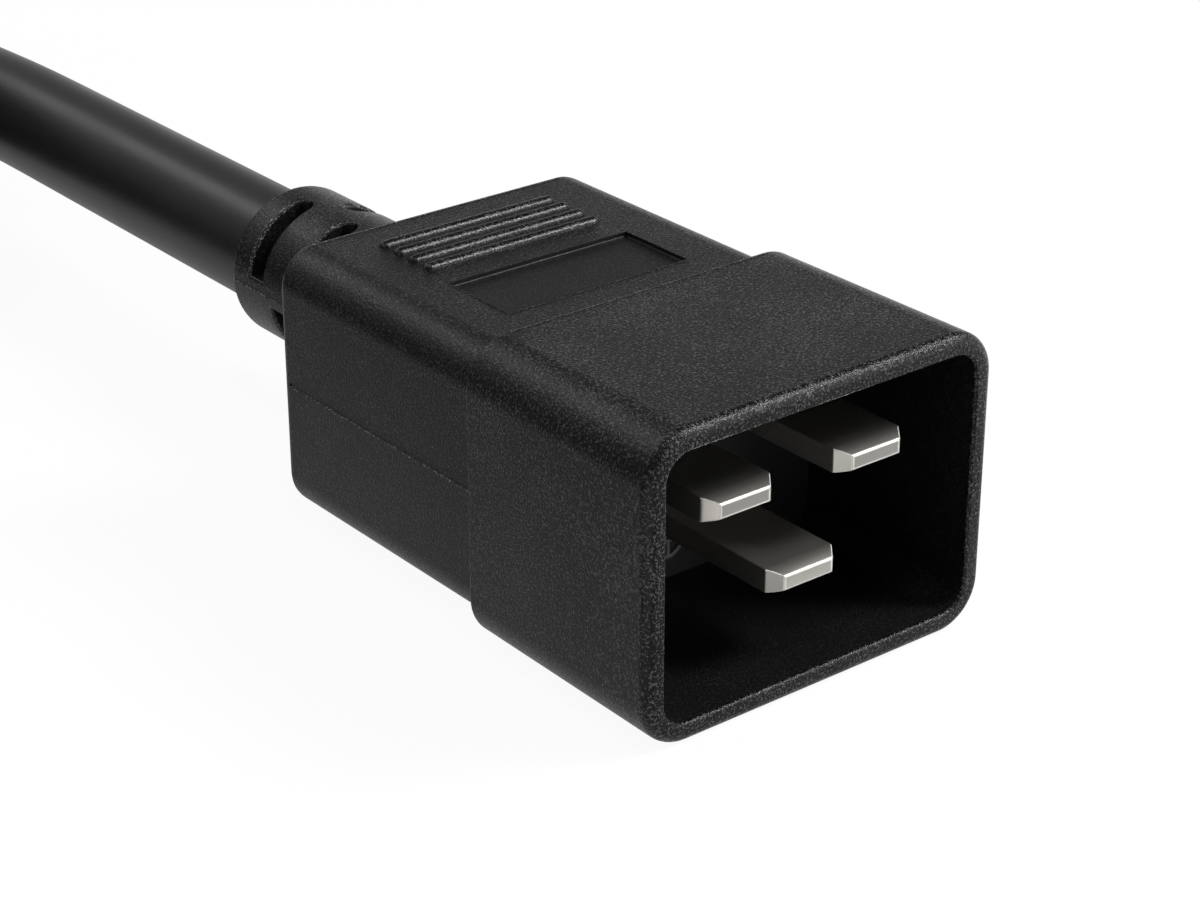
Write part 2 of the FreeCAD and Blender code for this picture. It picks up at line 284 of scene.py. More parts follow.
def addRod(name, radius, span, x, z, sides, caps="NGON"):  # cylinder along Y
    bpy.ops.object.select_all(action="DESELECT")
    bpy.ops.mesh.primitive_cylinder_add(
        vertices=sides,
        radius=radius * mm,
        depth=(span[1] - span[0]) * mm,
        end_fill_type=caps,
        location=(x * mm, sum(span) / 2 * mm, z * mm),
        rotation=(math.pi / 2, 0, 0),
    )
    return settle(name)


def openEdit(piece):
    selectOnly(piece)
    bpy.ops.object.mode_set(mode="EDIT")


def closeEdit():
    bpy.ops.object.mode_set(mode="OBJECT")


def pick(kind, rule):  # selects the vertices, edges or faces whose corner points, in mm, pass the rule
    bpy.ops.mesh.select_mode(type=kind)
    bpy.ops.mesh.select_all(action="DESELECT")
    mesh = bmesh.from_edit_mesh(bpy.context.object.data)
    for part in {"VERT": mesh.verts, "EDGE": mesh.edges, "FACE": mesh.faces}[kind]:
        corners = [part] if kind == "VERT" else part.verts
        if rule([corner.co / mm for corner in corners]):
            part.select_set(True)
    bmesh.update_edit_mesh(bpy.context.object.data)


def pickSharp(angle):  # selects the edges that turn by more degrees than this
    bpy.ops.mesh.select_mode(type="EDGE")
    bpy.ops.mesh.select_all(action="DESELECT")
    bpy.ops.mesh.edges_select_sharp(sharpness=math.radians(angle))


def level(points, axis, value):  # all the points lie on the plane
    return all(abs(point[axis] - value) < near for point in points)


def lengthways(points):  # the edge runs along Y
    return abs(points[0].y - points[1].y) > near


def roundEdges(width, segments):
    bpy.ops.mesh.bevel(offset=width * mm, segments=segments, affect="EDGES", clamp_overlap=True)


def faceOutwards():
    bpy.ops.mesh.select_all(action="SELECT")
    bpy.ops.mesh.normals_make_consistent(inside=False)


def combine(target, other, operation):  # joins another closed shape, or cuts its space away
    selectOnly(target)
    bpy.ops.object.modifier_add(type="BOOLEAN")
    modifier = target.modifiers[-1]
    modifier.operation = operation
    modifier.solver = "EXACT"
    modifier.object = other
    bpy.ops.object.modifier_apply(modifier=modifier.name)
    bpy.data.objects.remove(other, do_unlink=True)


def copyAlong(piece, shift):  # a copy with its own mesh, moved
    selectOnly(piece)
    bpy.ops.object.duplicate(linked=False)
    bpy.ops.transform.translate(value=[s * mm for s in shift])
    return settle(piece.name + "_copy")


def smoothPiece(piece, angle):  # soft shading with flat faces kept flat
    selectOnly(piece)
    bpy.ops.object.shade_smooth_by_angle(angle=math.radians(angle))
    bpy.ops.object.modifier_add(type="WEIGHTED_NORMAL")
    piece.modifiers[-1].keep_sharp = True
    bpy.ops.object.modifier_apply(modifier=piece.modifiers[-1].name)


def dress(piece, materials, slot, *replaced):
    piece.data.materials.clear()
    for material in materials:
        piece.data.materials.append(material)
    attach(piece, "root")
    if replaced:
        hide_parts(*replaced)
    print(piece.name, "made,", len(piece.data.polygons), "faces")


# Camera, fitted to the pins, rim, grip, strain relief and lead
cameraSettings = {
    "place": (-129.93, -172.0, 109.99),
    "turn": (64.37, 0.0, -38.54),
    "lens": 85.71,
    "sensor": 36.0,
    "clipStart": 10.0,
}
bpy.ops.object.camera_add(
    location=[c * mm for c in cameraSettings["place"]],
    rotation=[math.radians(a) for a in cameraSettings["turn"]],
)
camera = bpy.context.object
camera.data.lens = cameraSettings["lens"]
camera.data.sensor_width = cameraSettings["sensor"]
camera.data.clip_start = cameraSettings["clipStart"] * mm
bpy.context.scene.camera = camera
print("camera set")


# Lead: out of the boot, round the tied coil, and into the connector
cordSettings = {
    "diameter": 10.9,
    "length": 1.55,  # metres
    "exit": (0.0, 35.55, 12.65),
    "start": [(0, 7.55, 12.65), (0, 65, 12.65), (0, 100, 12.65), (0, 135, 8.6)],
    "end": [(-132.9, 135, 17.55), (-132.9, 109, 17.2), (-132.9, 58, 11.65), (-132.9, 7, 11.65)],
    "coilMiddle": (-66.45, 135.0),
    "turnStep": 15,  # degrees
    "lastAngle": 1260,
    # degrees along the coil, and its radius or height there
    "radii": [(0, 66.45), (285, 66.45), (350, 55.55), (905, 55.55), (975, 66.45), (1260, 66.45)],
    "heights": [
        (0, 8.6),
        (60, 6.65),
        (595, 6.65),
        (675, 17.55),
        (1020, 17.55),
        (1055, 21.4),
        (1100, 21.3),
        (1145, 17.55),
        (1260, 17.55),
    ],
    "spread": 1.0075,  # a spline runs a little inside its points
    "stepsAlong": 8,
    "stepsRound": 12,
}


def eased(keys, angle):  # soft change from one lane of the coil to the next
    for (a, first), (b, second) in zip(keys, keys[1:]):
        if a <= angle <= b:
            share = (angle - a) / (b - a)
            return first + (second - first) * share * share * (3 - 2 * share)


def layCord():
    s = cordSettings
    x, y = s["coilMiddle"]
    points = list(s["start"])
    for angle in range(s["turnStep"], s["lastAngle"], s["turnStep"]):
        radius = eased(s["radii"], angle) * s["spread"]
        turn = math.radians(angle)
        place = (x + radius * math.cos(turn), y + radius * math.sin(turn), eased(s["heights"], angle))
        points.append(place)
    points += s["end"]
    curve = bpy.data.curves.new("lead_cord", "CURVE")
    curve.dimensions = "3D"
    spline = curve.splines.new("NURBS")
    spline.points.add(len(points) - 1)
    for point, place in zip(spline.points, points):
        point.co = [c * mm for c in place] + [1.0]
    spline.order_u = 3
    spline.use_endpoint_u = True
    spline.resolution_u = s["stepsAlong"]
    curve.bevel_depth = s["diameter"] / 2 * mm
    curve.bevel_resolution = s["stepsRound"]
    curve.use_fill_caps = True
    cord = bpy.data.objects.new("lead_cord", curve)
    bpy.context.scene.collection.objects.link(cord)
    curve.materials.append(jacket)
    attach(cord, "root")
    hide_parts("cord_lead", "cord_coil", "cord_tail")
    print("lead_cord laid with", len(points), "points")
    return cord


cord = layCord()


# Shroud: an open box with a rounded rim
shroudSettings = {
    "width": 33.6,
    "rimWidth": 34.04,  # the sides have draft
    "height": 25.5,
    "front": -35.55,
    "rear": -13.75,
    "corner": 4.0,
    "cornerSteps": 14,
    "mouthWidth": 30.4,
    "mouthHeight": 22.0,
    "floor": -16.2,  # behind the insert's plate, which closes the mouth
    "outerRound": 0.9,
    "innerRound": 0.8,
    "rimSteps": 8,
    "rearBreak": 0.25,
    "rearSteps": 3,
}


def inMouth(x, z):  # within the mouth's outline, seen from the front
    s = shroudSettings
    return abs(x) < s["mouthWidth"] / 2 + near and abs(z - s["height"] / 2) < s["mouthHeight"] / 2 + near


def shroudShell():
    s = shroudSettings
    half, middle, front = s["width"] / 2, s["height"] / 2, s["front"]
    shell = addBox("plug_moulding", (-half, front, 0), (half, s["rear"], s["height"]))
    openEdit(shell)
    pick("EDGE", lengthways)
    roundEdges(s["corner"], s["cornerSteps"])
    pick("FACE", lambda points: level(points, 1, front))
    bpy.ops.transform.resize(value=(s["rimWidth"] / s["width"], 1, 1), center_override=(0, front * mm, 0))
    wall = (s["rimWidth"] - s["mouthWidth"]) / 2
    bpy.ops.mesh.inset(thickness=wall * mm, depth=0)
    bpy.ops.transform.resize(
        value=(1, 1, s["mouthHeight"] / (s["height"] - 2 * wall)),
        center_override=(0, front * mm, middle * mm),
    )
    bpy.ops.mesh.extrude_region_move(TRANSFORM_OT_translate={"value": (0, (s["floor"] - front) * mm, 0)})
    pick("EDGE", lambda points: level(points, 1, front) and not any(inMouth(p.x, p.z) for p in points))
    roundEdges(s["outerRound"], s["rimSteps"])
    pick("EDGE", lambda points: level(points, 1, front) and all(inMouth(p.x, p.z) for p in points))
    roundEdges(s["innerRound"], s["rimSteps"])
    pick("EDGE", lambda points: level(points, 1, s["rear"]))
    roundEdges(s["rearBreak"], s["rearSteps"])
    closeEdit()
    return shell


# Grip: rounded block, with a sunk panel and finger ribs on the plug's
gripSettings = {
    "width": 31.8,
    "height": 23.3,
    "corner": 3.4,
    "cornerSteps": 14,
    "rearRound": 1.1,
    "rearSteps": 5,
    "panelWidth": 18.0,
    "panelSpan": (-8.85, -1.05),
    "panelDepth": 0.4,
    "panelBreak": 0.05,
    "panelBreakSteps": 2,
    "panelFoot": 0.12,
    "panelFootSteps": 3,
    "ribLength": 17.8,
    "ribRadius": 0.6,
    "ribHeight": 0.45,
    "ribRows": [8.7, 6.65, 4.6, 2.55],
    "ribSides": 32,
    "ribSteps": 7,
    "clear": 1.0,  # how far the cutting box stands out of the top
}


def gripBlock(name, start, rear, x, z):
    s = gripSettings
    half, tall = s["width"] / 2, s["height"] / 2
    block = addBox(name, (x - half, start, z - tall), (x + half, rear, z + tall))
    openEdit(block)
    pick("EDGE", lengthways)
    roundEdges(s["corner"], s["cornerSteps"])
    pick("EDGE", lambda points: level(points, 1, rear))
    roundEdges(s["rearRound"], s["rearSteps"])
    closeEdit()
    return block


def inPanel(x, y):  # within the panel's outline, seen from above
    s = gripSettings
    front, rear = s["panelSpan"]
    return abs(x) < s["panelWidth"] / 2 + near and front - near < y < rear + near


def sinkPanel(block, top):
    s = gripSettings
    half, foot = s["panelWidth"] / 2, top - s["panelDepth"]
    front, rear = s["panelSpan"]
    combine(block, addBox("panel_space", (-half, front, foot), (half, rear, top + s["clear"])), "DIFFERENCE")
    openEdit(block)

    def nearEdge(points):  # the panel's front and left edges, the other two stay crisp
        return level(points, 1, front) or level(points, 0, -half)

    def onPanel(points, z):
        return level(points, 2, z) and all(inPanel(p.x, p.y) for p in points)

    pick("EDGE", lambda points: onPanel(points, top) and nearEdge(points))
    roundEdges(s["panelBreak"], s["panelBreakSteps"])
    pick("EDGE", lambda points: onPanel(points, foot))
    roundEdges(s["panelFoot"], s["panelFootSteps"])
    closeEdit()


def addRibs(block, top):
    s = gripSettings
    bpy.ops.object.select_all(action="DESELECT")
    bpy.ops.mesh.primitive_cylinder_add(
        vertices=s["ribSides"],
        radius=s["ribRadius"] * mm,
        depth=s["ribLength"] * mm,
        location=(0, s["ribRows"][0] * mm, (top + s["ribHeight"] - s["ribRadius"]) * mm),
        rotation=(0, math.pi / 2, 0),
    )
    rib = settle("finger_rib")
    openEdit(rib)
    end = s["ribLength"] / 2
    pick("EDGE", lambda points: level(points, 0, -end) or level(points, 0, end))
    roundEdges(s["ribRadius"] * fullRound, s["ribSteps"])
    closeEdit()
    ribs = [rib] + [copyAlong(rib, (0, row - s["ribRows"][0], 0)) for row in s["ribRows"][1:]]
    for rib in ribs:
        combine(block, rib, "UNION")


# Strain relief: a sleeve with staggered quarter slots and a flare at its root
bootSettings = {
    "radius": 7.05,
    "sides": 120,
    "length": 22.0,
    "wall": 1.58,
    "skin": 0.05,  # points this close under the surface still belong to it
    "sunk": 0.8,
    "flare": 0.35,
    "flareRings": [(0.0, 1.0), (0.2, 0.3), (0.6, 0.0)],  # distance from the root, share of the flare
    "endRound": 0.5,
    "endSteps": 4,
    "slotRows": 5,
    "slotWidth": 2.1,
    "slotPitch": 3.5,
    "slotMargin": 2.9,
    "slotAngles": (9.0, 84.0),
    "slotRound": 0.28,
    "slotSteps": 3,
    "slotEnd": [(84, 0.3), (81, 0.75), (78, 0.93)],  # angle and share of the slot's width left there
    "slotEndNear": 0.5,  # degrees
    "sharpAngle": 50,
    "rootMargin": 1.0,
}


def inSlot(place, rows, x, z):  # the point lies in one of the staggered slots
    s = bootSettings
    across, up = place.x - x, place.z - z
    low, high = s["slotAngles"]
    if not low < math.degrees(math.atan2(abs(up), abs(across))) < high:
        return False
    for row, slotFront in enumerate(rows):
        if slotFront < place.y < slotFront + s["slotWidth"]:
            return (across * up < 0) == (row % 2 == 0)
    return False


def narrowEnd(slotFront, side, up, angle, share, x, z):  # draws a slot together at this angle
    s = bootSettings

    def atEnd(points):
        across, lift = points[0].x - x, points[0].z - z
        turn = math.degrees(math.atan2(lift * up, across * side))
        inRow = slotFront - near < points[0].y < slotFront + s["slotWidth"] + near
        return inRow and abs(turn - angle) < s["slotEndNear"]

    pick("VERT", atEnd)
    middle = (x * mm, (slotFront + s["slotWidth"] / 2) * mm, z * mm)
    bpy.ops.transform.resize(value=(1, share, 1), center_override=middle)


def cutSlots(rows, x, z):
    pick("FACE", lambda points: inSlot(sum(points[1:], points[0]) / len(points), rows, x, z))
    bpy.ops.mesh.delete(type="FACE")
    for row, slotFront in enumerate(rows):
        for side in (-1, 1):
            up = side if row % 2 else -side
            for angle, share in bootSettings["slotEnd"]:
                narrowEnd(slotFront, side, up, angle, share, x, z)


def flareRoot(root, x, z):
    s = bootSettings
    for behind, share in s["flareRings"]:
        ring = root + behind
        grow = 1 + s["flare"] * share / s["radius"]
        pick("VERT", lambda points: level(points, 1, ring) or (ring == root and points[0].y < root))
        bpy.ops.transform.resize(value=(grow, 1, grow), center_override=(x * mm, ring * mm, z * mm))


def roundBoot(boot, root, rear, x, z):  # the rear end and the slots' outer edges
    s = bootSettings

    def outside(points):
        return all(math.hypot(p.x - x, p.z - z) > s["radius"] - s["skin"] for p in points)

    openEdit(boot)
    pick("EDGE", lambda points: level(points, 1, rear) and outside(points))
    roundEdges(s["endRound"], s["endSteps"])
    pickSharp(s["sharpAngle"])
    low, high = root + s["rootMargin"], rear - s["slotMargin"] / 2
    mesh = bmesh.from_edit_mesh(boot.data)
    for edge in mesh.edges:  # of the sharp edges, only the slots' outer ones stay selected
        ends = [corner.co / mm for corner in edge.verts]
        if not (outside(ends) and all(low < p.y < high for p in ends)):
            edge.select_set(False)
    bmesh.update_edit_mesh(boot.data)
    bpy.ops.mesh.bevel(offset=s["slotRound"] * mm, segments=s["slotSteps"], affect="EDGES")
    closeEdit()


def slottedBoot(rear, x, z):
    s = bootSettings
    root = rear - s["length"]
    boot = addRod("boot", s["radius"], (root - s["sunk"], rear), x, z, s["sides"], "NOTHING")
    openEdit(boot)
    rows = [rear - s["slotMargin"] - s["slotWidth"] - row * s["slotPitch"] for row in range(s["slotRows"])]
    cuts = [root + behind for behind, share in s["flareRings"]]
    for slotFront in rows:
        cuts += [slotFront, slotFront + s["slotWidth"]]
    for cut in cuts:
        bpy.ops.mesh.select_all(action="SELECT")
        bpy.ops.mesh.bisect(plane_co=(0, cut * mm, 0), plane_no=(0, 1, 0))
    cutSlots(rows, x, z)
    flareRoot(root, x, z)
    faceOutwards()
    closeEdit()
    bpy.ops.object.modifier_add(type="SOLIDIFY")
    boot.modifiers[-1].thickness = s["wall"] * mm
    boot.modifiers[-1].offset = -1
    bpy.ops.object.modifier_apply(modifier=boot.modifiers[-1].name)
    roundBoot(boot, root, rear, x, z)
    return boot


# Flash: a hair along the parting line, the nick where it ends, and beads on the top edges
flashSettings = {
    "height": 0.14,
    "stand": 0.12,
    "sunk": 0.3,
    "overlap": 0.5,  # how far the line runs into the piece in front
    "nickHeight": 0.42,
    "nickLength": 0.3,
    "nickStand": 0.1,
    "topWidth": 0.12,
    "topStand": 0.05,
    "topSteps": 3,
    "panelGap": 0.06,
}


def addFlash(body, side, span, z, height, stand):
    s = flashSettings
    out = 1 if side > 0 else -1
    inner, outer = sorted((side - out * s["sunk"], side + out * stand))
    ridge = addBox("flash", (inner, span[0], z - height / 2), (outer, span[1], z + height / 2))
    openEdit(ridge)
    pick("EDGE", lambda points: level(points, 0, side + out * stand) and level(points, 2, z + height / 2))
    roundEdges(stand * fullRound, 1)
    closeEdit()
    combine(body, ridge, "UNION")


def addTopFlash(body, low, high, top):
    s = flashSettings
    ridge = addBox("flash", low + (top - s["topStand"],), high + (top + s["topStand"],))
    openEdit(ridge)
    pick("EDGE", lambda points: level(points, 2, top + s["topStand"]))
    roundEdges(s["topStand"] * fullRound, s["topSteps"])
    closeEdit()
    combine(body, ridge, "UNION")


# Finish of each face of the moulding, by its place
finishSettings = {
    "edgeDepth": 0.015,  # faces this far under the boot's surface are on a slot's rounding
    "edgeFacing": -0.25,  # slot edges that face forward more than this are rubbed
    "panelReach": 1.0,  # slot edges that face forward more than this get the painted highlight
    "wallFacing": -0.9,  # the mouth's walls face forward less than this
}


def bootFinish(x, y, up, normal, rear):  # smooth slot walls in painted shade, and slot edges with a painted highlight
    s, b = finishSettings, bootSettings
    reach = math.hypot(x, up)
    onLine = abs(up) < flashSettings["height"] / 2 + near
    if onLine and reach > b["radius"] + near:
        return edgeHighlightPvc
    if reach < b["radius"] - b["slotRound"]:
        return smoothShadedPvc
    onEdge = reach < b["radius"] - s["edgeDepth"] and y < rear - b["slotMargin"] / 2
    return edgeHighlightPvc if onEdge and normal.y < s["edgeFacing"] else finePvc


def gripFinish(x, y, up):  # parting line with a painted highlight, ribs that catch the light, smooth panel, the rest darker as painted shade
    g = gripSettings
    top = g["height"] / 2
    if abs(up) < flashSettings["height"] / 2 + near and abs(x) > g["width"] / 2 + near:
        return edgeHighlightPvc
    if up > top + near and y > g["panelSpan"][1] + g["ribRadius"]:
        return ribPvc
    sunk = inPanel(x, y) and top - finishSettings["panelReach"] < up < top - near
    return smoothShadedPvc if sunk else gripShadedPvc


def shroudFinish(x, y, z, normal):  # smooth walls in the mouth in painted shade, coarse rim with painted glints
    s = shroudSettings
    behindRim = y > s["front"] + s["innerRound"]
    if inMouth(x, z) and behindRim and normal.y > finishSettings["wallFacing"]:
        return smoothShadedPvc
    return rimGlintPvc if y < s["front"] + s["outerRound"] else grainedPvc


# Plug: shroud, grip and strain relief in one moulding
plugSettings = {"middle": 12.65, "gripRear": 13.55, "bootRear": 35.55, "overlap": 1.0, "smoothAngle": 32}


def addAllFlash(body, z, gripRear, bootRear):
    s, g, b, f = shroudSettings, gripSettings, bootSettings, flashSettings
    lip = gripRear - g["rearRound"]
    for out in (-1, 1):
        side = out * g["width"] / 2
        addFlash(body, side, (s["rear"] - f["overlap"], lip), z, f["height"], f["stand"])
        addFlash(body, side, (lip - f["nickLength"], lip), z, f["nickHeight"], f["nickStand"])
        bootSpan = (gripRear - f["overlap"], bootRear - b["endRound"])
        addFlash(body, out * b["radius"], bootSpan, z, f["height"], f["stand"])
    top, wide, gap = z + g["height"] / 2, f["topWidth"], f["panelGap"]
    stepEdge = s["rear"] - s["rearBreak"]
    flat = s["width"] / 2 - s["corner"]
    addTopFlash(body, (-flat, stepEdge - wide), (flat, stepEdge), s["height"])
    flat = g["width"] / 2 - g["corner"]
    addTopFlash(body, (-flat, lip), (flat, lip + wide), top)
    half = g["panelWidth"] / 2
    front, rear = g["panelSpan"]
    addTopFlash(body, (-half, front - wide - gap), (half, front - gap), top)
    addTopFlash(body, (-half - wide - gap, front), (-half - gap, rear), top)


def plugMoulding():
    s = plugSettings
    z, gripRear, bootRear = s["middle"], s["gripRear"], s["bootRear"]
    top = z + gripSettings["height"] / 2
    body = shroudShell()
    grip = gripBlock("grip", shroudSettings["rear"] - s["overlap"], gripRear, 0, z)
    sinkPanel(grip, top)
    addRibs(grip, top)
    combine(body, grip, "UNION")
    combine(body, slottedBoot(bootRear, 0, z), "UNION")
    addAllFlash(body, z, gripRear, bootRear)
    smoothPiece(body, s["smoothAngle"])
    finishes = [grainedPvc, gripShadedPvc, rimGlintPvc, ribPvc, finePvc, smoothShadedPvc, edgeHighlightPvc]
    dress(body, finishes, "moulded_pvc", "plug_body")
    for face in body.data.polygons:
        x, y, up = face.center / mm
        if y > gripRear + near:
            finish = bootFinish(x, y, up - z, face.normal, bootRear)
        elif y > shroudSettings["rear"]:
            finish = gripFinish(x, y, up - z)
        else:
            finish = shroudFinish(x, y, up, face.normal)
        face.material_index = finishes.index(finish)


plugMoulding()


# Pins: flat blades with cut corners and a tip that rolls off on both faces
pinSettings = {
    "places": {"line": (-6.5, 17.05), "neutral": (6.5, 17.05), "earth": (0.0, 9.05)},
    "tip": -33.95,
    "rear": -9.45,
    "width": 6.7,
    "thickness": 2.0,
    "cornerWidth": 0.9,
    "cornerLength": 1.15,
    "cornerNear": 0.1,
    "rollLength": 1.4,
    "rollDrop": 0.38,
    "rollCuts": 6,
    "rollPower": 1.6,  # how late the roll-off sets in
    "ringNear": 0.0006,
    "edgeRound": 0.08,
    "edgeSteps": 3,
    "tipFrame": (0.12, 0.035),  # coined edge round the tip: its width and its rise
    "frontFacing": -0.99,  # the tip's flat face looks forward more than this, its edges less
    "cornerFacing": (0.15, 0.2),  # edges of the cut corners look sideways and up or down more than this
    "barrelRadius": 2.2,
    "barrelSpan": (-10.65, -3.65),
    "barrelSides": 48,
    "boreRadius": 1.25,
    "boreDepth": 5.8,
    "smoothAngle": 12,
}


def pinBlade(name, x, z):
    s = pinSettings
    half, thick, tip = s["width"] / 2, s["thickness"] / 2, s["tip"]
    blade = addBox(name + "_blade", (x - half, tip, z - thick), (x + half, s["rear"], z + thick))
    openEdit(blade)
    pick("EDGE", lambda points: level(points, 1, tip) and abs(points[0].z - points[1].z) > near)
    bpy.ops.mesh.bevel(offset=s["cornerWidth"] * mm, segments=1, affect="EDGES")
    pick("VERT", lambda points: abs(points[0].y - tip - s["cornerWidth"]) < s["cornerNear"])
    bpy.ops.transform.translate(value=(0, (s["cornerLength"] - s["cornerWidth"]) * mm, 0))
    pick("EDGE", lambda points: not level(points, 1, s["rear"]))
    roundEdges(s["edgeRound"], s["edgeSteps"])
    for cut in range(1, s["rollCuts"] + 1):
        bpy.ops.mesh.select_all(action="SELECT")
        place = tip + s["rollLength"] * cut / s["rollCuts"]
        bpy.ops.mesh.bisect(plane_co=(0, place * mm, 0), plane_no=(0, 1, 0))
    mesh = bmesh.from_edit_mesh(blade.data)
    rings = sorted({round(v.co.y / mm, 3) for v in mesh.verts if v.co.y / mm < tip + s["rollLength"] - near})
    for ring in rings:
        left = 1 - (ring - tip) / s["rollLength"]
        shrink = 1 - s["rollDrop"] * left ** s["rollPower"] / thick
        pick("VERT", lambda points: abs(points[0].y - ring) < s["ringNear"])
        bpy.ops.transform.resize(value=(1, 1, shrink), center_override=(x * mm, ring * mm, z * mm))
    frameWidth, frameDrop = s["tipFrame"]
    pick("FACE", lambda points: level(points, 1, tip))
    bpy.ops.mesh.inset(thickness=frameWidth * mm, depth=0)
    bpy.ops.transform.translate(value=(0, -frameDrop * mm, 0))
    closeEdit()
    return blade


def crimpBarrel(x, z):
    s = pinSettings
    barrel = addRod("barrel", s["barrelRadius"], s["barrelSpan"], x, z, s["barrelSides"])
    openEdit(barrel)
    pick("FACE", lambda points: level(points, 1, s["barrelSpan"][1]))
    bpy.ops.mesh.inset(thickness=(s["barrelRadius"] - s["boreRadius"]) * mm, depth=0)
    bpy.ops.mesh.extrude_region_move(TRANSFORM_OT_translate={"value": (0, -s["boreDepth"] * mm, 0)})
    closeEdit()
    return barrel


def flatPin(name, x, z):
    s = pinSettings
    pin = pinBlade(name, x, z)
    combine(pin, crimpBarrel(x, z), "UNION")
    smoothPiece(pin, s["smoothAngle"])
    dress(pin, [nickel, highlightNickel], "nickel_plate", name + "_pin")
    sideways, upright = s["cornerFacing"]
    for face in pin.data.polygons:  # the edges round the tip get a painted highlight
        behind, normal = face.center.y / mm - s["tip"], face.normal
        roundTip = behind < s["edgeRound"] and normal.y > s["frontFacing"]
        turned = abs(normal.x) > sideways and abs(normal.z) > upright
        face.material_index = 1 if roundTip or (turned and behind < s["cornerLength"]) else 0


for pinName, (pinX, pinZ) in pinSettings["places"].items():
    flatPin(pinName, pinX, pinZ)


# Earth sign, raised on the insert under the earth pin: ring, stem and three bars
signSettings = {
    "middle": (0.0, 5.2),
    "floor": -17.35,
    "ring": 1.45,
    "ringSides": 64,
    "ringNear": 0.2,
    "line": 0.17,  # half the width of a line
    "stand": 0.28,
    "sunk": 0.2,
    "stemTop": 0.1,
    "bars": [(0.0, 1.9), (0.45, 1.25), (0.9, 0.6)],  # height above the middle, length
    "barTop": 0.6,  # share of the half width that a bar has above its middle
    "lower": 0.01,  # stem and bars stand this much lower than the ring
    "edge": 0.06,
    "edgeSteps": 2,
    "smoothAngle": 40,
}


def earthSign():
    s = signSettings
    x, z = s["middle"]
    line, front, back = s["line"], s["floor"] - s["stand"], s["floor"] + s["sunk"]
    sign = addRod("earth_sign", s["ring"] + line, (front, back), x, z, s["ringSides"])
    openEdit(sign)
    pick("FACE", lambda points: len(points) > 4)  # the two round ends
    bpy.ops.mesh.inset(thickness=2 * line * mm, depth=0)
    bpy.ops.mesh.bridge_edge_loops()
    faceOutwards()

    def roundAbout(points):  # not an edge that runs across the ring
        return abs(points[0].length - points[1].length) < s["ringNear"]

    pick("EDGE", lambda points: level(points, 1, front) and roundAbout(points))
    roundEdges(s["edge"], s["edgeSteps"])
    closeEdit()
    strokes = [((-line, -s["ring"]), (line, s["stemTop"]))]
    strokes += [((-width / 2, up - line), (width / 2, up + line * s["barTop"])) for up, width in s["bars"]]
    front, back = front + s["lower"], back - s["lower"]
    for low, high in strokes:
        stroke = addBox("stroke", (x + low[0], front, z + low[1]), (x + high[0], back, z + high[1]))
        openEdit(stroke)
        pick("EDGE", lambda points: level(points, 1, front))
        roundEdges(s["edge"], s["edgeSteps"])
        closeEdit()
        combine(sign, stroke, "UNION")
    smoothPiece(sign, s["smoothAngle"])
    dress(sign, [highlightNylon], "insert_plastic")


earthSign()


# Connector on the far end: nose with three pockets, grip and the same strain relief
connectorSettings = {
    "x": -132.9,
    "z": 11.65,
    "noseStart": -35.0,
    "noseEnd": -17.0,
    "gripRear": 13.0,
    "bootRear": 35.0,
    "noseWidth": 29.8,
    "noseHeight": 21.4,
    "noseCorner": 1.9,
    "cornerSteps": 8,
    "noseRound": 0.5,
    "roundSteps": 4,
    "mouth": (7.3, 2.6, 1.5),  # width, height and depth
    "sleeve": (7.94, 3.14, 14.02),
    "mouthBreak": 0.25,
    "breakSteps": 2,
    "pockets": [(6.5, 4.3), (-6.5, 4.3), (0.0, -3.7)],
    "overlap": 1.0,
    "pocketOverlap": 0.02,
    "smoothAngle": 32,
}


def cutPockets(body):
    s = connectorSettings
    x, z, start = s["x"], s["z"], s["noseStart"]
    mouthWidth, mouthHeight, mouthDepth = s["mouth"]
    sleeveWidth, sleeveHeight, sleeveDepth = s["sleeve"]
    inner = start + mouthDepth
    cuts = [
        (mouthWidth, mouthHeight, start - s["overlap"], inner + s["pocketOverlap"]),
        (sleeveWidth, sleeveHeight, inner, inner + sleeveDepth),
    ]
    for across, up in s["pockets"]:
        for width, height, front, rear in cuts:
            low = (x + across - width / 2, front, z + up - height / 2)
            high = (x + across + width / 2, rear, z + up + height / 2)
            combine(body, addBox("pocket", low, high), "DIFFERENCE")
    halfWidth, halfHeight = mouthWidth / 2 + near, mouthHeight / 2 + near

    def onMouth(points):
        return level(points, 1, start) and any(
            all(abs(p.x - x - across) < halfWidth and abs(p.z - z - up) < halfHeight for p in points)
            for across, up in s["pockets"]
        )

    openEdit(body)
    pick("EDGE", onMouth)
    roundEdges(s["mouthBreak"], s["breakSteps"])
    closeEdit()


def matingConnector():
    s = connectorSettings
    x, z, start = s["x"], s["z"], s["noseStart"]
    half, tall, noseRear = s["noseWidth"] / 2, s["noseHeight"] / 2, s["noseEnd"] + s["overlap"]
    body = addBox("connector_moulding", (x - half, start, z - tall), (x + half, noseRear, z + tall))
    openEdit(body)
    pick("EDGE", lengthways)
    roundEdges(s["noseCorner"], s["cornerSteps"])
    pick("EDGE", lambda points: level(points, 1, start))
    roundEdges(s["noseRound"], s["roundSteps"])
    closeEdit()
    combine(body, gripBlock("connector_grip", s["noseEnd"], s["gripRear"], x, z), "UNION")
    combine(body, slottedBoot(s["bootRear"], x, z), "UNION")
    cutPockets(body)
    smoothPiece(body, s["smoothAngle"])
    dress(body, [grainedPvc, finePvc], "moulded_pvc", "connector_body")
    for face in body.data.polygons:
        if face.center.y / mm > s["gripRear"] + near:
            face.material_index = 1
    return body


connector = matingConnector()


